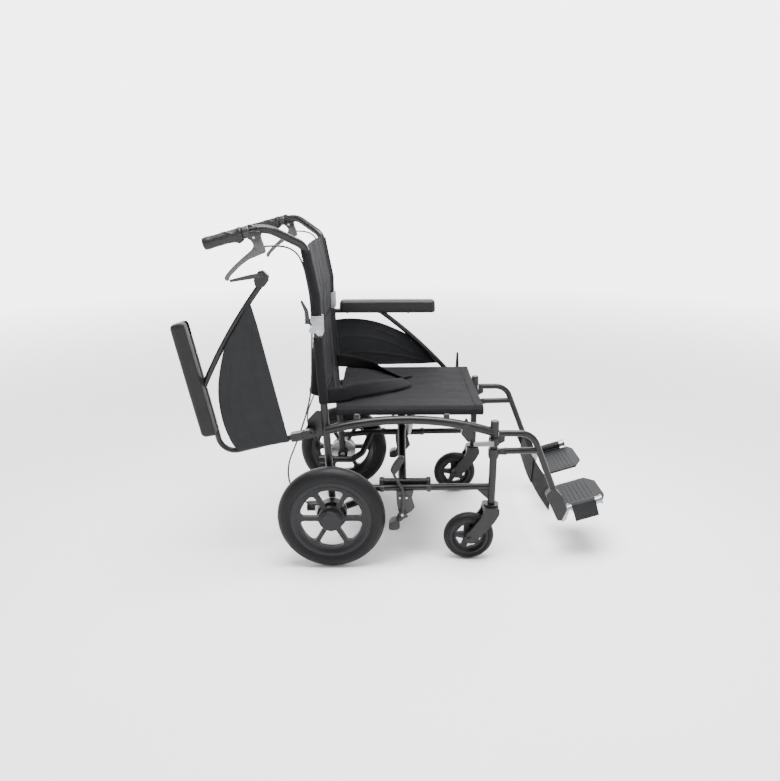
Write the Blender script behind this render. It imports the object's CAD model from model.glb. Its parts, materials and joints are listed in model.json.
import bpy
import bmesh
import json
import math
import numpy as np
from mathutils import Matrix, Vector, noise


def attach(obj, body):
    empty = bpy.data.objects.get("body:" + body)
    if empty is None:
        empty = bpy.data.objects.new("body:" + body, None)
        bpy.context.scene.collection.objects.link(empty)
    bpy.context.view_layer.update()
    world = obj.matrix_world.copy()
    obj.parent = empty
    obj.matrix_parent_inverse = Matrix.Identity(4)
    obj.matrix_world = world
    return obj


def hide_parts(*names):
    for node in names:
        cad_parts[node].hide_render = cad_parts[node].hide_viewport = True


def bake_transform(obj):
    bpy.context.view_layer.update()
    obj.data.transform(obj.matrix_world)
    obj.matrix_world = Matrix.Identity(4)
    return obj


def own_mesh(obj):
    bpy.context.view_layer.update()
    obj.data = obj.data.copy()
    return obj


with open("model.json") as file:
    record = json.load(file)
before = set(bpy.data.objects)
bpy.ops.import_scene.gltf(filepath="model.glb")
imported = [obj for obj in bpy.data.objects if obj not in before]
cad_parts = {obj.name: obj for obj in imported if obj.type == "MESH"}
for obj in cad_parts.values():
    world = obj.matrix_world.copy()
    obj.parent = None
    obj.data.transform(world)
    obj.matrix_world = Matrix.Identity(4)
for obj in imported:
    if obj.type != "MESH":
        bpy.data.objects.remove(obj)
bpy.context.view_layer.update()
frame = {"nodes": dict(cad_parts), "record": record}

# Distances forward are given from the rear axle, in millimetres, as in the part's own source.
AXLE_X = -206.2
SIDES = {"right": -1, "left": 1}


def at(ahead, y, z):
    """A point in metres from millimetres forward of the axle, to the left and up"""
    return Vector(((AXLE_X + ahead) / 1000, y / 1000, z / 1000))


# Camera, at the photograph's viewing angle
PITCH = 0.3089
YAW = -0.0026
ROLL = -0.0040
CAMERA_PLACE = (178, -1955.29, 1087.78)
SENSOR = 36
FRAME_PIXELS = 781
FOCAL_PIXELS = 642.8
forward = Vector((math.sin(YAW) * math.cos(PITCH), math.cos(YAW) * math.cos(PITCH), -math.sin(PITCH)))
right = Vector((math.cos(YAW), -math.sin(YAW), 0))
up = right.cross(forward)
cam_x = right * math.cos(ROLL) + up * math.sin(ROLL)
cam_y = -right * math.sin(ROLL) + up * math.cos(ROLL)
camera_data = bpy.data.cameras.new("camera")
camera = bpy.data.objects.new("camera", camera_data)
bpy.context.scene.collection.objects.link(camera)
camera.matrix_world = Matrix.Translation(at(*CAMERA_PLACE)) @ Matrix(
    (
        (cam_x.x, cam_y.x, -forward.x, 0),
        (cam_x.y, cam_y.y, -forward.y, 0),
        (cam_x.z, cam_y.z, -forward.z, 0),
        (0, 0, 0, 1),
    )
)
camera_data.sensor_width = SENSOR
camera_data.lens = FOCAL_PIXELS / FRAME_PIXELS * SENSOR
camera_data.clip_end = 50
bpy.context.scene.camera = camera


# Materials
class Nodes:
    """Builds one node material"""

    def __init__(self, name):
        self.mat = bpy.data.materials.new(name)
        self.mat.use_nodes = True
        self.tree = self.mat.node_tree
        self.shader = self.tree.nodes["Principled BSDF"]
        coordinates = self.tree.nodes.new("ShaderNodeTexCoord")
        self.point = coordinates.outputs["Object"]

    def add(self, kind, **inputs):
        node = self.tree.nodes.new(kind)
        for key, value in inputs.items():
            socket = node.inputs[key.replace("_", " ")]
            if isinstance(value, bpy.types.NodeSocket):
                self.tree.links.new(value, socket)
            else:
                socket.default_value = value
        return node

    def math(self, operation, a, b=0.0, c=0.0):
        node = self.tree.nodes.new("ShaderNodeMath")
        node.operation = operation
        for socket, value in zip(node.inputs, (a, b, c)):
            if isinstance(value, bpy.types.NodeSocket):
                self.tree.links.new(value, socket)
            else:
                socket.default_value = value
        return node.outputs[0]

    def noise(self, scale, detail=2.0, roughness=0.5, point=None):
        node = self.add("ShaderNodeTexNoise", Scale=scale, Detail=detail, Roughness=roughness)
        self.tree.links.new(point or self.point, node.inputs["Vector"])
        return node.outputs["Fac"]

    def scaled(self, factors):
        node = self.tree.nodes.new("ShaderNodeVectorMath")
        node.operation = "MULTIPLY"
        self.tree.links.new(self.point, node.inputs[0])
        node.inputs[1].default_value = factors
        return node.outputs[0]

    def mapped(self, value, low, high, out_low, out_high):
        node = self.add("ShaderNodeMapRange", Value=value)
        node.inputs["From Min"].default_value = low
        node.inputs["From Max"].default_value = high
        node.inputs["To Min"].default_value = out_low
        node.inputs["To Max"].default_value = out_high
        return node.outputs["Result"]

    def mix(self, factor, a, b):
        node = self.tree.nodes.new("ShaderNodeMix")
        node.data_type = "RGBA"
        for socket, value in ((node.inputs[0], factor), (node.inputs[6], a), (node.inputs[7], b)):
            if isinstance(value, bpy.types.NodeSocket):
                self.tree.links.new(value, socket)
            elif isinstance(value, (tuple, list)):
                socket.default_value = (*value, 1) if len(value) == 3 else value
            else:
                socket.default_value = value
        return node.outputs[2]

    def edge(self, radius=0.0012):
        """How near the surface is to an edge, 0 to 1"""
        bevel = self.add("ShaderNodeBevel", Radius=radius)
        bevel.samples = 4
        geometry = self.tree.nodes.new("ShaderNodeNewGeometry")
        dot = self.tree.nodes.new("ShaderNodeVectorMath")
        dot.operation = "DOT_PRODUCT"
        self.tree.links.new(bevel.outputs[0], dot.inputs[0])
        self.tree.links.new(geometry.outputs["Normal"], dot.inputs[1])
        return self.mapped(dot.outputs["Value"], 0.995, 0.9, 0.0, 1.0)

    def bump(self, height, distance, strength=1.0, bevel=0.0):
        node = self.add("ShaderNodeBump", Height=height, Distance=distance, Strength=strength)
        if bevel:
            soft = self.add("ShaderNodeBevel", Radius=bevel)
            soft.samples = 4
            self.tree.links.new(soft.outputs[0], node.inputs["Normal"])
        self.tree.links.new(node.outputs[0], self.shader.inputs["Normal"])

    def set(self, **inputs):
        for key, value in inputs.items():
            socket = self.shader.inputs[key.replace("_", " ")]
            if isinstance(value, bpy.types.NodeSocket):
                self.tree.links.new(value, socket)
            elif isinstance(value, (tuple, list)) and len(value) == 3:
                socket.default_value = (*value, 1)
            else:
                socket.default_value = value


def painted(name, base, worn, rough, grain=900.0, wear=0.35, bevel=0.0006, shine=0.4):
    """Satin powder coat or moulded plastic: fine grain, uneven gloss and lighter edges"""
    m = Nodes(name)
    cloud = m.noise(14.0, 4.0, 0.6)
    fine = m.noise(grain, 2.0, 0.6)
    scuff = m.noise(120.0, 5.0, 0.7)
    edge = m.math("MULTIPLY", m.edge(), m.mapped(scuff, 0.42, 0.62, 0.25, 1.0))
    tint = m.mix(m.mapped(cloud, 0.3, 0.7, 0.0, 1.0), [c * 0.86 for c in base], [c * 1.12 for c in base])
    m.set(Base_Color=m.mix(m.math("MULTIPLY", edge, wear), tint, worn))
    uneven = m.mapped(scuff, 0.3, 0.7, rough - 0.05, rough + 0.06)
    gloss = m.math("ADD", uneven, m.math("MULTIPLY", edge, -0.06))
    m.set(Roughness=gloss)
    m.shader.inputs["Specular IOR Level"].default_value = shine
    m.bump(fine, 0.00012, 0.35, bevel)
    return m.mat


def metal(name, base, rough, brushed):
    m = Nodes(name)
    streak = m.noise(60.0, 3.0, 0.7, m.scaled(brushed))
    cloud = m.noise(35.0, 4.0, 0.6)
    edge = m.edge(0.0008)
    lighter = [min(1, c * 1.1) for c in base]
    tint = m.mix(m.mapped(cloud, 0.3, 0.7, 0.0, 1.0), [c * 0.8 for c in base], lighter)
    m.set(Base_Color=m.mix(m.math("MULTIPLY", edge, 0.5), tint, (0.85, 0.85, 0.86)), Metallic=1.0)
    m.set(Roughness=m.mapped(streak, 0.2, 0.8, rough - 0.1, rough + 0.15))
    m.bump(streak, 0.0001, 0.4, 0.0005)
    return m.mat


def tyre(name, axis_x, axis_z, radius, base, ribs):
    """Solid tyre: rubber with moulded rings round it and dusty tread"""
    m = Nodes(name)
    split = m.tree.nodes.new("ShaderNodeSeparateXYZ")
    m.tree.links.new(m.point, split.inputs[0])
    dx = m.math("SUBTRACT", split.outputs["X"], axis_x)
    dz = m.math("SUBTRACT", split.outputs["Z"], axis_z)
    r = m.math("SQRT", m.math("ADD", m.math("MULTIPLY", dx, dx), m.math("MULTIPLY", dz, dz)))
    height = m.math("MULTIPLY", m.noise(700.0, 2.0, 0.6), 0.12)
    for distance, width, depth in ribs:
        off = m.math("ABSOLUTE", m.math("SUBTRACT", r, distance))
        ring = m.mapped(off, 0.0, width, depth, 0.0)
        height = m.math("ADD", height, ring)
    cloud = m.noise(25.0, 5.0, 0.65)
    tread = m.mapped(r, radius - 0.006, radius, 0.0, 1.0)
    dust = m.math("MULTIPLY", tread, m.mapped(cloud, 0.35, 0.7, 0.2, 1.0))
    tint = m.mix(m.mapped(cloud, 0.3, 0.7, 0.0, 1.0), [c * 0.85 for c in base], [c * 1.2 for c in base])
    m.set(Base_Color=m.mix(m.math("MULTIPLY", dust, 0.3), tint, (0.04, 0.039, 0.038)))
    m.set(Roughness=m.mapped(cloud, 0.3, 0.7, 0.42, 0.58))
    m.shader.inputs["Specular IOR Level"].default_value = 0.15
    m.bump(height, 0.0008, 0.8, 0.0008)
    return m.mat


def cloth(name, base, pitch, rough=0.82, sheen=0.25, plane="XY", uv=False):
    """Plain-woven nylon: warp and weft from crossed waves, with thread and panel variation"""
    m = Nodes(name)
    split = m.tree.nodes.new("ShaderNodeSeparateXYZ")
    place = m.tree.nodes.new("ShaderNodeUVMap").outputs[0] if uv else m.point
    m.tree.links.new(place, split.inputs[0])
    first, second = split.outputs[plane[0]], split.outputs[plane[1]]
    k = 2 * math.pi / pitch
    warp = m.math("SINE", m.math("MULTIPLY", first, k))
    weft = m.math("SINE", m.math("MULTIPLY", second, k))
    weave = m.math("MULTIPLY", warp, weft)
    cloud = m.noise(9.0, 4.0, 0.6)
    slub = m.noise(260.0, 3.0, 0.7)
    tint = m.mix(m.mapped(cloud, 0.3, 0.7, 0.0, 1.0), [c * 0.84 for c in base], [c * 1.16 for c in base])
    m.set(Base_Color=m.mix(m.mapped(weave, -1.0, 1.0, 0.0, 0.22), tint, [c * 1.9 for c in base]))
    m.set(Roughness=m.mapped(slub, 0.3, 0.7, rough - 0.07, rough + 0.06))
    m.shader.inputs["Sheen Weight"].default_value = sheen
    m.shader.inputs["Sheen Roughness"].default_value = 0.45
    m.shader.inputs["Specular IOR Level"].default_value = 0.08
    m.bump(m.math("ADD", weave, m.math("MULTIPLY", slub, 0.6)), 0.00016, 0.5)
    return m.mat


BLACK = (0.006, 0.0061, 0.0068)
MAT = {
    "frame": painted("powder_coat_black", BLACK, (0.07, 0.07, 0.074), 0.34, shine=0.3),
    "lever_black": painted("satin_black", (0.013, 0.013, 0.0145), (0.08, 0.08, 0.084), 0.4),
    "moulding": painted(
        "moulding_grey", (0.015, 0.0154, 0.0172), (0.07, 0.07, 0.074), 0.5, 1300.0, 0.3, shine=0.12
    ),
    "wheel_rim": painted(
        "wheel_moulding", (0.013, 0.0131, 0.0148), (0.08, 0.08, 0.085), 0.42, 1100.0, 0.5, shine=0.2
    ),
    "grip": painted("grip_rubber", (0.009, 0.009, 0.01), (0.02, 0.02, 0.02), 0.42, 500.0, 0.1, shine=0.3),
    "arm_pad": painted(
        "pad_vinyl", (0.009, 0.0091, 0.0098), (0.03, 0.03, 0.031), 0.42, 450.0, 0.3, 0.002, 0.2
    ),
    "brake_lever": painted("lever_grey", (0.05, 0.05, 0.053), (0.08, 0.08, 0.085), 0.32, 500.0, 0.2),
    "latch_grey": painted("latch_grey", (0.16, 0.16, 0.156), (0.5, 0.5, 0.5), 0.45),
    "cable": painted("cable_black", (0.012, 0.012, 0.012), (0.05, 0.05, 0.05), 0.4),
    "silver": metal("cast_aluminium", (0.3, 0.318, 0.332), 0.38, (1, 6, 1)),
    "steel": metal("plated_steel", (0.42, 0.42, 0.43), 0.34, (1, 1, 5)),
    "fabric": cloth("nylon_black", (0.0085, 0.0083, 0.0097), 0.0011, sheen=0.02),
    "fabric_uv": cloth("nylon_strap", (0.008, 0.0078, 0.0092), 0.0011, sheen=0.02, uv=True),
    "pocket": cloth("pocket_black", (0.006, 0.006, 0.0066), 0.0013, 0.85, 0.02, "YZ"),
    "webbing": cloth("webbing_black", (0.006, 0.006, 0.0068), 0.0022, 0.72, 0.02, uv=True),
}
RUBBER = (0.007, 0.007, 0.0079)
TYRES = {
    "rear": tyre(
        "tyre_rear",
        at(0, 0, 0).x,
        0.159,
        0.159,
        RUBBER,
        [(0.1225, 0.0012, 0.6), (0.147, 0.0008, 0.35), (0.1495, 0.0008, 0.35)],
    ),
    "caster": tyre("tyre_caster", at(410, 0, 0).x, 0.076, 0.076, RUBBER, [(0.0605, 0.0009, 0.5)]),
}


def paint(obj, mat):
    """Gives every slot of a piece one material"""
    if not obj.data.materials:
        obj.data.materials.append(mat)
    for k in range(len(obj.data.materials)):
        obj.data.materials[k] = mat


slots = {row["node"]: row["material_slot"] for row in frame["record"]["subparts"]}
for name, obj in frame["nodes"].items():
    if name.startswith("rear_tyre"):
        paint(obj, TYRES["rear"])
    elif name.startswith("caster_tyre"):
        paint(obj, TYRES["caster"])
    else:
        paint(obj, MAT[slots[name]])


# Mesh helpers
def between(p0, p1, p2, p3, t):
    """A place on the smooth curve from p1 to p2, with its neighbours on both sides"""
    square = (2 * p0 - 5 * p1 + 4 * p2 - p3) * t**2
    cube = (3 * p1 - p0 - 3 * p2 + p3) * t**3
    return 0.5 * (2 * p1 + (p2 - p0) * t + square + cube)


def smooth_line(points, step):
    """Even steps along a smooth line through the points, which may carry more numbers than a place"""
    pts = [np.array(p, float) for p in points]
    pts = [2 * pts[0] - pts[1], *pts, 2 * pts[-1] - pts[-2]]
    line = []
    for p0, p1, p2, p3 in zip(pts, pts[1:], pts[2:], pts[3:]):
        for t in np.linspace(0, 1, 24, endpoint=False):
            line.append(between(p0, p1, p2, p3, t))
    line.append(pts[-2])
    line = np.array(line)
    run = np.concatenate([[0], np.cumsum(np.linalg.norm(np.diff(line[:, :3], axis=0), axis=1))])
    count = max(2, int(round(run[-1] / step)) + 1)
    want = np.linspace(0, run[-1], count)
    return np.stack([np.interp(want, run, line[:, k]) for k in range(line.shape[1])], 1)


def finish_mesh(name, verts, faces, mat, body, smooth=True, uvs=None):
    """A named mesh piece that rides on a body; the vertices are in millimetres ahead of the axle"""
    mesh = bpy.data.meshes.new(name)
    mesh.from_pydata([tuple(at(*v)) for v in verts], [], faces)
    if uvs is not None:
        layer = mesh.uv_layers.new(name="UVMap")
        for loop in mesh.loops:
            layer.data[loop.index].uv = uvs[loop.vertex_index]
    for poly in mesh.polygons:
        poly.use_smooth = smooth
    obj = bpy.data.objects.new(name, mesh)
    bpy.context.scene.collection.objects.link(obj)
    obj.data.materials.append(mat)
    if body:
        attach(obj, body)
    return obj


def apply_modifiers(obj):
    """Bakes an object's modifiers into its mesh"""
    graph = bpy.context.evaluated_depsgraph_get()
    baked = bpy.data.meshes.new_from_object(obj.evaluated_get(graph))
    obj.modifiers.clear()
    obj.data = baked


STRAP_EDGE = 0.5


def strip(name, stations, width, thick, mat, body, across=6):
    """Webbing: a closed flat band along stations of (place, direction of its width)"""
    line = smooth_line([(*place, *way) for place, way in stations], 4.0)
    places, ways = line[:, :3], line[:, 3:]
    verts, uvs, faces = [], [], []
    half = width / 2
    ring = [(s, 1.0) for s in np.linspace(-1, 1, across)] + [(s, -1.0) for s in np.linspace(1, -1, across)]
    run = 0.0
    for k, (place, way) in enumerate(zip(places, ways)):
        tangent = places[min(k + 1, len(places) - 1)] - places[max(k - 1, 0)]
        tangent /= np.linalg.norm(tangent)
        way = way - tangent * np.dot(way, tangent)
        way /= np.linalg.norm(way)
        normal = np.cross(tangent, way)
        if k:
            run += np.linalg.norm(place - places[k - 1])
        for s, side in ring:
            t = thick / 2 * (STRAP_EDGE if abs(s) > 0.99 else 1.0)
            verts.append(place + way * s * half + normal * side * t)
            uvs.append((s * half / 1000 + (0.2 if side < 0 else 0), run / 1000))
    n = len(ring)
    for k in range(len(places) - 1):
        for j in range(n):
            a, b = k * n + j, k * n + (j + 1) % n
            faces.append((a, b, b + n, a + n))
    last = (len(places) - 1) * n
    for j in range(across - 1):
        faces.append((j, n - 1 - j, n - 2 - j, j + 1))
        faces.append((last + j, last + j + 1, last + n - 2 - j, last + n - 1 - j))
    return finish_mesh(name, verts, faces, mat, body, uvs=uvs)


def sheet_mesh(name, rows, thick, mat, body):
    """A cloth from a grid of places, given a thickness inward of its face"""
    count = len(rows[0])
    verts = [p for row in rows for p in row]
    faces = []
    for k in range(len(rows) - 1):
        for j in range(count - 1):
            a = k * count + j
            faces.append((a, a + 1, a + 1 + count, a + count))
    obj = finish_mesh(name, verts, faces, mat, None)
    solid = obj.modifiers.new("thickness", "SOLIDIFY")
    solid.thickness = thick / 1000
    solid.offset = -1
    apply_modifiers(obj)
    for poly in obj.data.polygons:
        poly.use_smooth = True
    if body:
        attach(obj, body)
    return obj


def ripple(x, y, scale, seed):
    """Smooth noise from -1 to 1"""
    return noise.noise(Vector((x * scale + seed * 7.31, y * scale - seed * 3.17, seed * 1.91)))


def tube_loft(name, loops, mat, body, holes=None):
    """A closed skin through loops of places; holes are matching inner loops, such as a sleeve's bore"""
    bm = bmesh.new()

    def wall(rings, flip):
        rows = [[bm.verts.new(at(*p)) for p in ring] for ring in rings]
        n = len(rows[0])
        for low, high in zip(rows, rows[1:]):
            for j in range(n):
                quad = [low[j], low[(j + 1) % n], high[(j + 1) % n], high[j]]
                bm.faces.new(quad[::-1] if flip else quad)
        return rows

    outer = wall(loops, False)
    inner = wall(holes, True) if holes else None
    for k in (0, -1):
        edges = [bm.edges.get((a, b)) for a, b in zip(outer[k], outer[k][1:] + outer[k][:1])]
        if inner:
            edges += [bm.edges.get((a, b)) for a, b in zip(inner[k], inner[k][1:] + inner[k][:1])]
        bmesh.ops.triangle_fill(bm, use_beauty=True, edges=edges)
    bmesh.ops.recalc_face_normals(bm, faces=bm.faces[:])
    mesh = bpy.data.meshes.new(name)
    bm.to_mesh(mesh)
    bm.free()
    for poly in mesh.polygons:
        poly.use_smooth = len(poly.vertices) == 4
    obj = bpy.data.objects.new(name, mesh)
    bpy.context.scene.collection.objects.link(obj)
    obj.data.materials.append(mat)
    if body:
        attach(obj, body)
    return obj


# Seat: one sheet over both rails, with a hem along the front and side bands over the rails
RAIL_Y = 205.0
RAIL_Z = 470.0
SEAT_FROM = 18.0
SEAT_TO = 442.0
WRAP_R = 14.6


def seat_point(x, run):
    """A place on the seat's cloth: run is the distance from the middle, along the cloth"""
    side = 1 if run > 0 else -1
    run = abs(run)
    flat = RAIL_Y - 2
    if run < flat:
        y = run
        edge = max(0.0, (run - flat + 60) / 60)
        sag = 4.5 * (1 - (y / flat) ** 2)
        wave = 1.1 * ripple(x * 0.35, side * y, 0.022, 3) + 0.5 * ripple(x * 0.3, side * y, 0.07, 4)
        front = math.exp(-(((x - SEAT_TO) / 26) ** 2))
        z = RAIL_Z + WRAP_R - sag + wave * (1 - 0.8 * edge) * (1 - 0.6 * front)
        return (x, side * y, z)
    turn = (run - flat) / WRAP_R
    y = flat + 2 + WRAP_R * math.sin(min(turn, math.pi / 2)) - 2 * (1 - min(1, turn))
    z = RAIL_Z + WRAP_R * math.cos(min(turn, math.pi / 2))
    rest = run - flat - WRAP_R * math.pi / 2
    if rest > 0:
        z -= rest
    return (x, side * y, z)


def seat_cover():
    runs = list(np.linspace(0, RAIL_Y - 2, 40)) + list(np.linspace(RAIL_Y, RAIL_Y + 31, 14))
    runs = [-r for r in reversed(runs[1:])] + runs
    rows = [[seat_point(x, run) for run in runs] for x in np.linspace(SEAT_FROM + 1, SEAT_TO - 1, 66)]
    return sheet_mesh("seat_cover", [row[::-1] for row in rows], 2.2, MAT["fabric"], None)


seat = seat_cover()
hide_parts("seat_sling")
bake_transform(seat)


def band_over_seat(name, x0, x1, run0, run1, thick, lift, mat):
    """A strip of cloth sewn on the seat's cover, following its surface"""
    across = np.linspace(run0, run1, max(4, int(abs(run1 - run0) / 6) + 2))
    along = np.linspace(x0, x1, max(4, int(abs(x1 - x0) / 6) + 2))
    rows = []
    for x in along:
        row = []
        for run in across:
            px, py, pz = seat_point(x, run)
            side = 1 if run > 0 else -1
            turn = min(max((abs(run) - (RAIL_Y - 2)) / WRAP_R, 0), math.pi / 2)
            row.append((px, py + side * lift * math.sin(turn), pz + lift * math.cos(turn)))
        rows.append(row[::-1])
    obj = sheet_mesh(name, rows, thick, mat, None)
    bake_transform(obj)
    return obj


band_over_seat("seat_front_hem", SEAT_TO - 26, SEAT_TO - 0.6, -232, 232, 1.6, 0.9, MAT["fabric"])
for word, side in SIDES.items():
    band = (side * 216, side * 234)
    band_over_seat(f"seat_side_band_{word}", SEAT_FROM + 2, SEAT_TO - 1.4, *band, 1.5, 1.0, MAT["fabric"])


# Back: a sleeve round each cane and a web between them, below and above the hinge
CANE_Y = 210.0
HINGE_X = -28.0
BACK_HINGE_Z = 719.0
CANE_LEAN = -0.05
AXLE_Z = 159
BEND_FROM = 792
BEND_MIDDLE = 800
CANE_TOP = (-62, 988)


def cane_x(z):
    """Where the canes are at a height, forward of the axle"""
    if z < BACK_HINGE_Z:
        return CANE_LEAN * (z - AXLE_Z)
    if z < BEND_FROM:
        return HINGE_X
    slope = (CANE_TOP[0] - HINGE_X) / (CANE_TOP[1] - BEND_MIDDLE)
    if z <= BEND_MIDDLE:
        return HINGE_X + slope * (z - BEND_FROM) * 0.25
    ease = min(1.0, (z - BEND_FROM) / 16)
    return HINGE_X + slope * (z - BEND_MIDDLE + (1 - ease) * (BEND_MIDDLE - z) * 0.5)


def sleeve(name, side, z0, z1, body):
    """A sleeve of cloth round a cane, its two flaps sewn together inboard"""
    levels = np.linspace(z0, z1, max(4, int((z1 - z0) / 7)))
    outer, inner = [], []
    for z in levels:
        cx = cane_x(z)
        ring = []
        for k in range(41):
            turn = math.radians(-142 + 284 * k / 40)
            r = 13.7 + 0.35 * ripple(turn * 9, z, 0.05, 5 + side)
            ring.append((r * math.sin(turn), r * math.cos(turn)))
        flap = [(8.2, -13.5), (5.2, -18), (3.4, -22.5), (2.7, -27)]
        ring = [(-x, y) for x, y in reversed(flap)] + ring + flap
        outer.append([(cx + x, side * (CANE_Y + y), z) for x, y in ring])
        inner.append(
            [
                (cx + 11.35 * math.sin(a), side * (CANE_Y + 11.35 * math.cos(a)), z)
                for a in np.linspace(0, 2 * math.pi, 32, endpoint=False)
            ]
        )
    obj = tube_loft(name, outer, MAT["fabric"], body, inner)
    return obj


def back_web(name, z0, z1, body, shape, replaced):
    """The cloth between the sleeves"""
    half = 190.0
    rows = []
    for z in np.linspace(z0, z1, int((z1 - z0) / 6) + 2):
        row = []
        for y in np.linspace(-half, half, 76):
            row.append((cane_x(z) + shape(y, z), y, z))
        rows.append(row)
    obj = sheet_mesh(name, rows, 2.6, MAT["fabric"], body)
    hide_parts(replaced)
    return obj


def web_shape(y, z):
    """How far the web stands in front of the canes' plane: it hangs back and has upright folds"""
    edge = 1 - (abs(y) / 190) ** 6
    bow = -5.0 * (1 - (y / 190) ** 2)
    fold = 2.6 * ripple(y, z * 0.12, 0.035, 11) + 1.4 * ripple(y, z * 0.2, 0.09, 12)
    near = 3.0 * math.exp(-(((abs(y) - 168) / 12) ** 2)) * ripple(0, z, 0.012, 13)
    return 1.3 + (bow + fold + near) * edge


UPPER_WEB = (700.0, 932.0)
LOWER_WEB = (490.0, 722.0)


def upper_web_shape(y, z):
    top = max(0.0, (z - 880) / 50)
    return web_shape(y, z) + 2.2 - 2.0 * top**2 * (1 - (y / 190) ** 2)


def lower_web_shape(y, z):
    tuck = max(0.0, min(1.0, (z - 690) / 12))
    return web_shape(y, z) * (1 - 0.25 * tuck) - 2.4 * tuck


for word, side in SIDES.items():
    sleeve(f"back_sleeve_lower_{word}", side, 494.5, 686, f"frame_{word}")
    sleeve(f"back_sleeve_upper_{word}", side, 748.5, 925.5, f"back_{word}")
lower = back_web("back_cloth_lower", *LOWER_WEB, "frame_right", lower_web_shape, "back_lower")
upper = back_web("back_cloth_upper", *UPPER_WEB, "back_right", upper_web_shape, "back_upper")
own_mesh(lower)
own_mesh(upper)


POCKET_Z = (672.0, 500.0)
POCKET_HALF = 176.0


def pocket():
    """The bag behind the back, shallow at its mouth and deep and sagging at its foot"""
    z_top, z_low = POCKET_Z
    rows = []
    count = 50
    for k in range(count):
        t = k / (count - 1)
        row = []
        for y in np.linspace(-POCKET_HALF, POCKET_HALF, 80):
            side = 1 - (abs(y) / POCKET_HALF) ** 14
            if t < 0.84:
                u = t / 0.84
                z = z_top - (z_top - z_low - 10) * u
                depth = 22 + 26 * u
            else:
                u = (t - 0.84) / 0.16
                z = z_low + 10 - 14 * math.sin(u * math.pi / 2) + 9 * u**3
                depth = 48 * (1 - u**2.6) + 2
            wave = 2.0 * ripple(y, z * 0.4, 0.03, 21) + 1.2 * ripple(y * 0.6, z, 0.06, 22)
            depth = 3.5 + (depth - 3.5 + wave * min(1, (1 - t) * 6)) * side
            row.append((cane_x(z) - depth, y, z))
        rows.append(row)
    obj = sheet_mesh("back_pocket", rows, 1.8, MAT["pocket"], "frame_right")
    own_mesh(obj)
    return obj


pocket()


# Webbing: the lap belt in two halves, and the strap behind the calves
BELT_WIDTH = 46
BELT_THICK = 1.7


def belt(name, stations, body):
    """One half of the lap belt"""
    obj = strip(name, stations, BELT_WIDTH, BELT_THICK, MAT["webbing"], None)
    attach(obj, body)
    return obj


NEAR_BELT = [
    ((-8, -192, 509), (0.1, 0.2, 1)),
    ((18, -182, 508), (0.1, 0.2, 1)),
    ((46, -172, 509), (0, 0.25, 1)),
    ((72, -152, 511), (0, 0.4, 1)),
    ((100, -128, 509), (-0.1, 0.5, 0.9)),
    ((134, -98, 506), (-0.2, 0.6, 0.8)),
    ((168, -66, 502), (-0.25, 0.75, 0.62)),
    ((200, -36, 498), (-0.25, 0.85, 0.45)),
    ((228, -4, 494), (-0.3, 0.9, 0.3)),
]
FAR_BELT = [
    ((-12, 196, 512), (0, -0.15, 1)),
    ((30, 196, 509), (0, -0.15, 1)),
    ((70, 190, 502), (0, -0.2, 1)),
    ((110, 178, 495), (0, -0.4, 0.9)),
    ((150, 150, 489), (0.2, -0.8, 0.5)),
    ((190, 118, 487.6), (0.4, -0.9, 0.12)),
    ((232, 72, 487.6), (0.55, -0.83, 0)),
]
near_belt = belt("lap_belt_near", NEAR_BELT, "frame_right")
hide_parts("lap_belt_right")
far_belt = belt("lap_belt_far", FAR_BELT, "frame_left")
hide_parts("lap_belt_left")


def calf_strap(word, side):
    shift = 0 if side > 0 else 2.9
    lean = (0.06, 0, 1)
    stations = [
        ((649 + shift, side * 216, 194), lean),
        ((646 + shift, side * 150, 190), lean),
        ((643.5 + shift, side * 90, 187), lean),
        ((642.5 + shift, side * 40, 186), lean),
        ((642.3 + shift, side * -12, 186), lean),
    ]
    obj = strip(f"calf_strap_cloth_{word}", stations, 84, 2.0, MAT["fabric_uv"], f"hanger_{word}", across=14)
    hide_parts(f"calf_strap_{word}")
    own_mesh(obj)


for word, side in SIDES.items():
    calf_strap(word, side)


# Brake cables: one smooth line each, from the lever down behind the back's sleeve to the drum
CABLE = [
    (-146.6, 290, 941),
    (-106, 268, 943),
    (-72, 238, 925),
    (-57, 216, 888),
    (-51, 197, 840),
    (-44, 190.5, 785),
    (-44, 190.5, 705),
    (-47, 196, 640),
    (-48, 203, 580),
    (-52, 211, 525),
    (-66, 219, 466),
    (-84, 222, 415),
    (-104, 225, 364),
    (-126, 227, 312),
    (-127, 229, 255),
    (-105, 229, 208),
    (-53.8, 227, 168),
]
for word, side in SIDES.items():
    curve = bpy.data.curves.new(f"cable_{word}", "CURVE")
    curve.dimensions = "3D"
    spline = curve.splines.new("NURBS")
    spline.points.add(len(CABLE) - 1)
    for point, (x, y, z) in zip(spline.points, CABLE):
        point.co = (*at(x, side * y, z), 1)
    spline.order_u = 3
    spline.use_endpoint_u = True
    curve.resolution_u = 10
    curve.bevel_depth = 0.0024
    curve.bevel_resolution = 4
    curve.use_fill_caps = True
    obj = bpy.data.objects.new(f"cable_run_{word}", curve)
    bpy.context.scene.collection.objects.link(obj)
    obj.data.materials.append(MAT["cable"])
    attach(obj, f"frame_{word}")
    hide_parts(f"brake_cable_{word}")


# Rigid pieces drawn finer than their solids
def slab(name, low, high):
    """A closed mesh between two rings of places"""
    mesh = bpy.data.meshes.new(name)
    n = len(low)
    verts = [tuple(at(*p)) for p in low + high]
    faces = [tuple(range(n))[::-1], tuple(range(n, 2 * n))]
    for k in range(n):
        m = (k + 1) % n
        faces.append((k, m, n + m, n + k))
    mesh.from_pydata(verts, [], faces)
    bm = bmesh.new()
    bm.from_mesh(mesh)
    bmesh.ops.recalc_face_normals(bm, faces=bm.faces[:])
    bm.to_mesh(mesh)
    bm.free()
    return mesh


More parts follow.
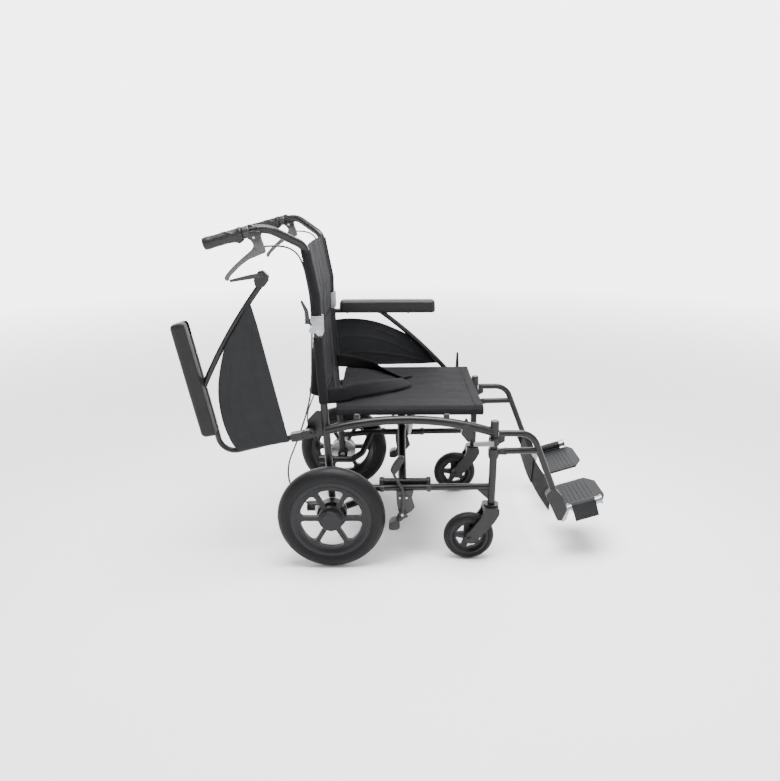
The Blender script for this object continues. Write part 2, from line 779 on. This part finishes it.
def closed_line(points, step):
    """Even steps round a smooth closed line"""
    pts = [np.array(p, float) for p in points]
    count = len(pts)
    line = []
    for k in range(count):
        p0, p1, p2, p3 = (pts[(k + i) % count] for i in (-1, 0, 1, 2))
        reach = np.linalg.norm(p2 - p1)
        for t in np.linspace(0, 1, max(2, int(reach / step) + 1), endpoint=False):
            line.append(between(p0, p1, p2, p3, t))
    return line


EDGE_STEPS = 3


def plate(name, outline, y, thick, mat, body, bevel=1.0, step=0.0, across="y"):
    """A plate from an outline of (ahead, height) points, or (y, height) ones for a plate across x"""
    shape = closed_line(outline, step) if step else [np.array(p, float) for p in outline]
    rings = []
    for offset in (-thick / 2, thick / 2):
        if across == "y":
            rings.append([(p[0], y + offset, p[1]) for p in shape])
        else:
            rings.append([(y + offset, p[0], p[1]) for p in shape])
    obj = bpy.data.objects.new(name, slab(name, *rings))
    bpy.context.scene.collection.objects.link(obj)
    if bevel:
        edge = obj.modifiers.new("edge", "BEVEL")
        edge.width = bevel / 1000
        edge.segments = EDGE_STEPS
        edge.limit_method = "ANGLE"
        edge.angle_limit = math.radians(35)
        apply_modifiers(obj)
    for poly in obj.data.polygons:
        poly.use_smooth = True
    obj.data.set_sharp_from_angle(angle=math.radians(40))
    obj.data.materials.clear()
    obj.data.materials.append(mat)
    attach(obj, body)
    return obj


def filleted(points, reaches, steps=9):
    """A line through points whose corners are rounded, each over its own reach"""
    pts = [np.array(p, float) for p in points]
    line = [pts[0]]
    for before, corner, after, reach in zip(pts, pts[1:], pts[2:], reaches):
        a = corner + (before - corner) / np.linalg.norm(before - corner) * reach
        b = corner + (after - corner) / np.linalg.norm(after - corner) * reach
        for t in np.linspace(0, 1, steps):
            line.append(a * (1 - t) ** 2 + corner * 2 * t * (1 - t) + b * t**2)
    line.append(pts[-1])
    return line


def hose(name, line, radius, mat, body, sides=20):
    """A tube along a line; the radius is a number or a function of the share of the way along it"""
    places = [np.array(p, float) for p in line]
    run = np.concatenate([[0], np.cumsum([np.linalg.norm(b - a) for a, b in zip(places, places[1:])])])
    side = None
    loops = []
    for k, place in enumerate(places):
        tangent = places[min(k + 1, len(places) - 1)] - places[max(k - 1, 0)]
        tangent /= np.linalg.norm(tangent)
        if side is None:
            side = np.cross(tangent, (0.0, 1.0, 0.0))
            if np.linalg.norm(side) < 0.1:
                side = np.cross(tangent, (0.0, 0.0, 1.0))
        side = side - tangent * np.dot(side, tangent)
        side /= np.linalg.norm(side)
        other = np.cross(tangent, side)
        r = radius(run[k] / run[-1]) if callable(radius) else radius
        loops.append(
            [
                place + r * (math.cos(a) * side + math.sin(a) * other)
                for a in np.linspace(0, 2 * math.pi, sides, endpoint=False)
            ]
        )
    return tube_loft(name, loops, mat, body)


def disc(name, centre, radius, length, mat, body, along=(0, 1, 0), sides=20):
    """A small round head with a rounded rim"""
    c = np.array(centre, float)
    d = np.array(along, float)
    d /= np.linalg.norm(d)
    line = [c + d * length * t for t in (0, 0.45, 0.7, 0.88, 1.0)]

    def rounded(t):
        return radius * (1.0 if t < 0.5 else math.sqrt(max(0.2, 1 - ((t - 0.5) * 1.6) ** 2)))

    return hose(name, line, rounded, mat, body, sides)


# Upper canes with their grips and hand brakes
HANDLE_END = (-292, 296, 949)
HANDLE_TOP = (-142, 284, 989.5)
SPLAY_FOOT = (-53, 211, 936)


def cane_line(side):
    points = [(-28, 210, 720), (-28, 210, 800), SPLAY_FOOT, HANDLE_TOP, HANDLE_END]
    points = [(x, side * y, z) for x, y, z in points]
    return filleted(points, [20, 20, 34])


HANDLE_BACK = np.array(HANDLE_END, float) - np.array(HANDLE_TOP, float)
HANDLE_BACK /= np.linalg.norm(HANDLE_BACK)
GRIP_L = 98.0


def on_handle(side, ahead):
    """A place on the handle tube's axis, measured forward from its rear end"""
    p = np.array(HANDLE_END, float) - HANDLE_BACK * ahead
    return (p[0], side * p[1], p[2])


def grip_mesh(word, side):
    """Moulded grip: plain rear half, swirled relief before it and a finger guard below its front"""
    count = 64
    loops = []
    back = np.array([HANDLE_BACK[0], side * HANDLE_BACK[1], HANDLE_BACK[2]])
    wide = np.array([0.0, 1.0, 0.0])
    wide -= back * np.dot(wide, back)
    wide /= np.linalg.norm(wide)
    tall = np.cross(back, wide)
    if tall[2] < 0:
        tall = -tall
    for k in range(count):
        t = k / (count - 1)
        s = -5 + (GRIP_L + 5) * t
        centre = np.array(on_handle(side, s))
        end_round = math.sqrt(max(0.0, 1 - max(0.0, (4.5 - (s + 5)) / 4.5) ** 2))
        base = 15.4 * (0.7 + 0.3 * end_round) + 0.9 * math.exp(-(((s - 8) / 9) ** 2))
        swirl = math.exp(-(((s - 62) / 24) ** 4))
        ring = []
        for a in np.linspace(0, 2 * math.pi, 48, endpoint=False):
            r = base + 1.1 * swirl * max(0, math.sin(3 * a + s * 0.16)) ** 2
            r += 1.6 * math.exp(-(((s - 94) / 5) ** 2))
            r += 7.5 * math.exp(-(((s - 84) / 9) ** 2)) * max(0.0, math.cos(a + math.pi)) ** 3
            ring.append(centre + r * (math.cos(a) * tall + math.sin(a) * wide))
        loops.append(ring)
    obj = tube_loft(f"grip_moulded_{word}", loops, MAT["grip"], f"back_{word}")
    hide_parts(f"push_grip_{word}")


BRAKE_LEVER = [
    (-181.8, 962),
    (-166, 968),
    (-152.0, 969),
    (-148.2, 957),
    (-141.0, 929.1),
    (-150.5, 922.6),
    (-173.9, 913.0),
    (-188.6, 906.3),
    (-209.7, 890.8),
    (-226.7, 875.3),
    (-237.6, 864.3),
    (-241.9, 854.9),
    (-249.8, 857.8),
    (-248.0, 868.4),
    (-230.4, 887.8),
    (-208.8, 907.2),
    (-187.6, 924.3),
    (-175.0, 935.5),
    (-171.2, 945.6),
    (-176.6, 956.1),
]
CLAMP_LUMP = [
    (-189, 985),
    (-182, 995),
    (-172, 995.5),
    (-168, 991),
    (-160, 992),
    (-154, 987),
    (-156, 976),
    (-184, 972),
]
LEVER_MOUNT = [(-186, 976), (-184, 962), (-176, 958), (-160, 958), (-152, 964), (-153, 980)]


def hand_brake(word, side):
    y = side * 291
    black = MAT["lever_black"]
    back = f"back_{word}"
    moved = f"brake_lever_{word}"
    lever = plate(f"brake_lever_blade_{word}", BRAKE_LEVER, y, 9, MAT["brake_lever"], moved, 3.2, 3.0)
    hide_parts(f"brake_lever_{word}")
    ring = [on_handle(side, s) for s in np.linspace(GRIP_L + 1.5, GRIP_L + 19.5, 7)]
    band = hose(f"brake_clamp_ring_{word}", ring, 15.2, black, back, 28)
    lump = plate(f"brake_clamp_lump_{word}", CLAMP_LUMP, side * 287, 15, black, back, 3.0, 4.0)
    pieces = [band, lump]
    for out in (-1, 1):
        name = f"brake_clamp_cheek_{'in' if out < 0 else 'out'}_{word}"
        pieces.append(plate(name, LEVER_MOUNT, y + out * 6.7, 3.6, black, back, 1.2, 4.0))
    pin = (-168, y - 9.3, 963.5)
    pieces.append(disc(f"brake_clamp_pin_{word}", pin, 3.2, 18.6, MAT["steel"], back))
    for piece in pieces:
        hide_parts(f"brake_clamp_{word}")


HINGE_LUG = [(-20, 720), (-20, 740), (-42, 740), (-47, 724), (-46, 715), (-38, 715), (-33, 720)]
LEVER_EAR = [(-60, 725), (-40, 722), (-40, 739), (-58, 739)]
for word, side in SIDES.items():
    cane = hose(f"cane_tube_{word}", cane_line(side), 11.0, MAT["frame"], f"back_{word}", 32)
    lug = plate(f"cane_lug_{word}", HINGE_LUG, side * CANE_Y, 14, MAT["frame"], f"back_{word}", 1.0)
    ear = plate(f"cane_lever_ear_{word}", LEVER_EAR, side * CANE_Y, 5, MAT["frame"], f"back_{word}", 1.0)
    for piece in (cane, lug, ear):
        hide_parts(f"upper_cane_{word}")
    grip_mesh(word, side)
    hand_brake(word, side)


# Armrests: moulded panels with grooves and screws, and pads with rounded ends over the bar
ARM_TURN = {"right": math.radians(-100.5), "left": 0.0}
ARM_PIVOT = (-53.0, 413.0)


def arm_place(word, x, y, z):
    """A place on an armrest drawn with the arm down, where the photograph has it"""
    turn = ARM_TURN[word]
    px, pz = x - ARM_PIVOT[0], z - ARM_PIVOT[1]
    return (
        ARM_PIVOT[0] + px * math.cos(turn) + pz * math.sin(turn),
        SIDES[word] * y,
        ARM_PIVOT[1] - px * math.sin(turn) + pz * math.cos(turn),
    )


PANEL_TOP = [
    (-62, 622),
    (-48, 634),
    (-20, 642),
    (32, 647),
    (99, 641),
    (163, 622),
    (239, 585),
    (290, 538),
    (340, 494),
    (347, 490),
]
PANEL_LOW = [(-62, 478), (100, 481), (220, 483), (281, 484), (331, 487), (347, 488.5)]
GROOVES = [
    [(-44, 505), (60, 528), (200, 515), (300, 494)],
    [(-50, 566), (40, 585), (150, 570), (262, 520)],
    [(-40, 612), (30, 622), (110, 615), (200, 580)],
]


def at_x(points, x):
    xs, zs = zip(*points)
    return float(np.interp(x, xs, zs))


def smooth_outline(points, step=6.0):
    return [tuple(p) for p in smooth_line([(x, 0, z) for x, z in points], step)]


def arm_panel(word):
    top = [(x, z) for x, _, z in smooth_outline(PANEL_TOP)]
    lines = [[(x, z) for x, _, z in smooth_outline(groove)] for groove in GROOVES]
    rows = []
    for x in np.linspace(-62, 347, 130):
        row = []
        low, high = at_x(PANEL_LOW, x), max(at_x(top, x), at_x(PANEL_LOW, x) + 1.0)
        for v in np.linspace(0, 1, 56):
            z = low + (high - low) * v
            depth = 0.0
            for line in lines:
                if line[0][0] < x < line[-1][0]:
                    fade = min(1, (x - line[0][0]) / 12, (line[-1][0] - x) / 12)
                    depth += fade * 1.5 * math.exp(-(((z - at_x(line, x)) / 2.4) ** 2))
            rim = min(z - low, high - z, x + 62, 9.0)
            swell = 1.2 * (1 - math.exp(-rim / 3.0))
            row.append(arm_place(word, x, 249.6 + swell - depth, z))
        rows.append(row)
    if SIDES[word] > 0:
        rows = [row[::-1] for row in rows]
    obj = sheet_mesh(f"arm_panel_moulded_{word}", rows, 3.2, MAT["moulding"], f"armrest_{word}")
    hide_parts(f"arm_panel_{word}")


PAD_X = (0.5, 328.0)
PAD_MID = 251.0
PAD_HALF = 24.0
PAD_LOW, PAD_HIGH = 671.0, 713.0


def pad_section(shrink, lift):
    """The pad across: a rounded top, straight sides and a groove below for the bar"""
    half = PAD_HALF - shrink
    high = PAD_HIGH - lift
    low = PAD_LOW + lift * 0.6
    r = 12.0
    pts = []
    for k in range(9):
        a = math.pi / 2 * k / 8
        pts.append((PAD_MID + half - r + r * math.sin(a), high - r + r * math.cos(a)))
    for k in range(5):
        a = math.pi / 2 * k / 4
        pts.append((PAD_MID + half - 4 + 4 * math.cos(a), low + 4 - 4 * math.sin(a)))
    groove_top = max(686.0, low + 3)
    pts += [(249.2, low), (249.2, groove_top), (230.8, groove_top), (230.8, low)]
    for k in range(5):
        a = math.pi / 2 * k / 4
        pts.append((PAD_MID - half + 4 - 4 * math.sin(a), low + 4 - 4 * math.cos(a)))
    for k in range(9):
        a = math.pi / 2 * k / 8
        pts.append((PAD_MID - half + r - r * math.cos(a), high - r + r * math.sin(a)))
    return pts


def arm_pad(word):
    loops = []
    length = PAD_X[1] - PAD_X[0]
    rear, front = np.linspace(0, 14, 12), length - np.linspace(14, 0, 12)
    for run in np.concatenate([rear, np.linspace(20, 307, 40), front]):
        x = PAD_X[0] + run
        end = min(x - PAD_X[0], PAD_X[1] - x)
        ease = 1 - math.sqrt(max(0.0, 1 - (1 - min(1.0, end / 13)) ** 2))
        crown = 0.5 * math.cos(math.pi * (x - 164) / 340)
        loops.append([arm_place(word, x, y, z) for y, z in pad_section(7.5 * ease, 9.5 * ease - crown)])
    obj = tube_loft(f"arm_pad_moulded_{word}", loops, MAT["arm_pad"], f"armrest_{word}")
    obj.data.set_sharp_from_angle(angle=math.radians(60))
    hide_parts(f"arm_pad_{word}")


def arm_screws(word):
    turn = ARM_TURN[word]
    for k, (x, z) in enumerate([(-52, 563), (-52, 502), (248, 566)]):
        head = disc(
            f"arm_panel_screw_{k}_{word}",
            arm_place(word, x, 250.2, z),
            3.0,
            2.2,
            MAT["lever_black"],
            f"armrest_{word}",
            (0, SIDES[word], 0),
        )
    down = (-math.sin(turn), 0, -math.cos(turn))
    for k, x in enumerate((26, 136, 236)):
        head = disc(
            f"arm_pad_screw_{k}_{word}",
            arm_place(word, x, 240, 669.5),
            3.4,
            2.6,
            MAT["steel"],
            f"armrest_{word}",
            down,
        )


for word in SIDES:
    arm_panel(word)
    arm_pad(word)
    arm_screws(word)


# Wheel locks: a fat moulded handle on a bent stem, and the shoe beside the tyre
LOCK_GRIP = [
    (199, 345),
    (210, 345),
    (214, 338),
    (208, 322),
    (194, 297),
    (186, 289),
    (178, 293),
    (174, 304),
    (183, 325),
]
LOCK_STEM = [(184, 297), (183, 290), (189, 275), (199.6, 256), (209, 241), (212, 215), (211, 190), (208, 158)]
LOCK_FOOT = [(199, 164), (213, 166), (219, 158), (226, 150), (214, 143), (203, 135), (193, 136), (191, 148)]
LOCK_SHOE = [
    (168.5, 134),
    (170, 125),
    (180, 122.5),
    (194, 124),
    (201, 132),
    (198, 149),
    (184, 151),
    (172, 143),
]


def wheel_lock(word, side):
    body = f"wheel_lock_{word}"
    y = side * 249.2
    black, steel = MAT["lever_black"], MAT["steel"]
    out = (0, side, 0)
    grip = plate(f"lock_grip_{word}", LOCK_GRIP, side * 251, 15, MAT["grip"], body, 4.5, 3.0)
    stem_line = smooth_line([(x, y, z) for x, z in LOCK_STEM], 4.0)
    stem = hose(f"lock_stem_{word}", stem_line, 4.2, black, body, 14)
    foot = plate(f"lock_foot_{word}", LOCK_FOOT, y, 5, black, body, 1.2, 3.0)
    shoe = plate(f"lock_shoe_{word}", LOCK_SHOE, side * 265, 36, MAT["grip"], body, 2.5, 3.0)
    bolt = disc(f"lock_pivot_head_{word}", (208, side * 251.5, 157), 5.2, 3.4, steel, body, out, 6)
    moulded = ((grip, "grip"), (stem, "lever_black"), (foot, "lever_black"), (shoe, "grip"))
    for piece, slot in (*moulded, (bolt, "steel")):
        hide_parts(f"lock_lever_{word}")
    for k, (x, z) in enumerate([(201.4, 209), (221, 209)]):
        head = disc(f"lock_bolt_{k}_{word}", (x, side * 243, z), 4.4, 3.2, steel, f"frame_{word}", out, 6)


# Frame clamps: bands round the foot tube and the lower rail, and open saddles below the seat rail
def clamp_band(side):
    """A band round both tubes, seen from the front"""
    pts = []
    for k in range(13):
        a = math.radians(205 - 205 * k / 12)
        pts.append((side * (205 + 14.6 * -math.cos(math.pi - a)), 243 + 14.6 * math.sin(a)))
    for k in range(13):
        a = math.radians(25 - 205 * k / 12)
        pts.append((side * (228 + 13.6 * math.cos(a)), 235.5 + 13.6 * math.sin(a)))
    return pts


SADDLE = [(191, 466), (219, 466), (227, 459), (228, 434), (217, 434), (196, 447)]


def frame_clamps(word, side):
    pieces = []
    black, body = MAT["lever_black"], f"frame_{word}"
    for k, x in enumerate((148.0, 287.0)):
        pieces.append(plate(f"clamp_band_{k}_{word}", clamp_band(side), x, 13, black, body, 1.8, 0, "x"))
    for k, x in enumerate((78.0, 336.0)):
        shape = [(side * y, z) for y, z in SADDLE]
        pieces.append(plate(f"saddle_{k}_{word}", shape, x, 16, black, body, 2.0, 4.0, "x"))
    for piece in pieces:
        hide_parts(f"frame_clamps_{word}")


# Back hinges: silver side plates with a hooked rear edge, joined by a strap in front
HINGE_PLATE = [
    (-40.7, 748),
    (-11, 748),
    (-9.5, 745),
    (-9.5, 700),
    (-12, 694.5),
    (-23.5, 692.8),
    (-31, 701),
    (-46, 701.5),
    (-50.2, 707.3),
    (-46, 713),
    (-39, 717),
    (-38, 722),
    (-43.7, 732.6),
    (-44, 742),
]


def back_hinge(word, side):
    pieces = []
    silver, body = MAT["silver"], f"frame_{word}"
    for k, out in enumerate((-1, 1)):
        y = side * CANE_Y + out * 13.2
        pieces.append(plate(f"hinge_plate_{k}_{word}", HINGE_PLATE, y, 3, silver, body, 0.9, 0))
    for k, (x, z) in enumerate([(-42, 719), (-24, 706)]):
        y = side * CANE_Y - 15.4
        pieces.append(disc(f"hinge_rivet_{k}_{word}", (x, y, z), 3.6, 30.8, MAT["steel"], body))
    strap = [(-15.6, 708), (-10.6, 708), (-9.8, 699), (-12, 693.6), (-15.6, 693)]
    pieces.append(plate(f"hinge_strap_{word}", strap, side * CANE_Y, 25, silver, body, 0.8, 0))
    for piece in pieces:
        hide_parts(f"back_hinge_{word}")


for word, side in SIDES.items():
    wheel_lock(word, side)
    frame_clamps(word, side)
    back_hinge(word, side)


# Studio: pale floor, soft light from above, the front and the camera's side
def light(name, place, target, size, power, color=(1, 1, 1)):
    data = bpy.data.lights.new(name, "AREA")
    data.shape = "RECTANGLE"
    data.size = size[0]
    data.size_y = size[1]
    data.energy = power
    data.color = color
    lamp = bpy.data.objects.new(name, data)
    bpy.context.scene.collection.objects.link(lamp)
    lamp.location = place
    lamp.rotation_euler = (Vector(target) - Vector(place)).to_track_quat("-Z", "Y").to_euler()
    return lamp


BACKDROP = 5.0
SURROUND = 0.2
FADE_FROM = 1.3
FADE_TO = 5.5


def studio():
    """A pale floor that fades into a bright backdrop, dimmer surroundings and softboxes"""
    mesh = bpy.data.meshes.new("floor")
    mesh.from_pydata([(-30, -30, 0), (30, -30, 0), (30, 30, 0), (-30, 30, 0)], [], [(0, 1, 2, 3)])
    floor = bpy.data.objects.new("floor", mesh)
    bpy.context.scene.collection.objects.link(floor)
    m = Nodes("floor_white")
    cloud = m.noise(2.0, 3.0, 0.5)
    m.set(Base_Color=m.mix(cloud, (0.93, 0.93, 0.93), (0.95, 0.95, 0.95)), Roughness=0.85)
    m.shader.inputs["Specular IOR Level"].default_value = 0.1
    length = m.tree.nodes.new("ShaderNodeVectorMath")
    length.operation = "LENGTH"
    m.tree.links.new(m.point, length.inputs[0])
    fade = m.mapped(length.outputs["Value"], FADE_FROM, FADE_TO, 0.0, 1.0)
    glow = m.add("ShaderNodeEmission", Strength=BACKDROP)
    blend = m.tree.nodes.new("ShaderNodeMixShader")
    m.tree.links.new(fade, blend.inputs[0])
    m.tree.links.new(m.shader.outputs[0], blend.inputs[1])
    m.tree.links.new(glow.outputs[0], blend.inputs[2])
    m.tree.links.new(blend.outputs[0], m.tree.nodes["Material Output"].inputs["Surface"])
    floor.data.materials.append(m.mat)
    # The world is bright toward the backdrop and dimmer all round
    world = bpy.data.worlds.new("studio")
    world.use_nodes = True
    tree = world.node_tree
    split = tree.nodes.new("ShaderNodeSeparateXYZ")
    tree.links.new(tree.nodes.new("ShaderNodeTexCoord").outputs["Generated"], split.inputs[0])
    toward = tree.nodes.new("ShaderNodeMapRange")
    toward.interpolation_type = "SMOOTHSTEP"
    tree.links.new(split.outputs["Y"], toward.inputs["Value"])
    for key, value in (("From Min", 0.35), ("From Max", 0.8), ("To Min", SURROUND), ("To Max", BACKDROP)):
        toward.inputs[key].default_value = value
    background = tree.nodes["Background"]
    background.inputs["Color"].default_value = (1, 1, 1, 1)
    tree.links.new(toward.outputs["Result"], background.inputs["Strength"])
    bpy.context.scene.world = world
    light("top", (0.1, -0.3, 2.6), (0, 0, 0.4), (2.2, 1.3), 230)
    light("key", (1.9, -2.4, 2.0), (0, 0, 0.5), (1.0, 1.4), 26)
    light("fill", (-2.4, -2.2, 1.6), (0, 0, 0.5), (1.0, 1.4), 12)


studio()
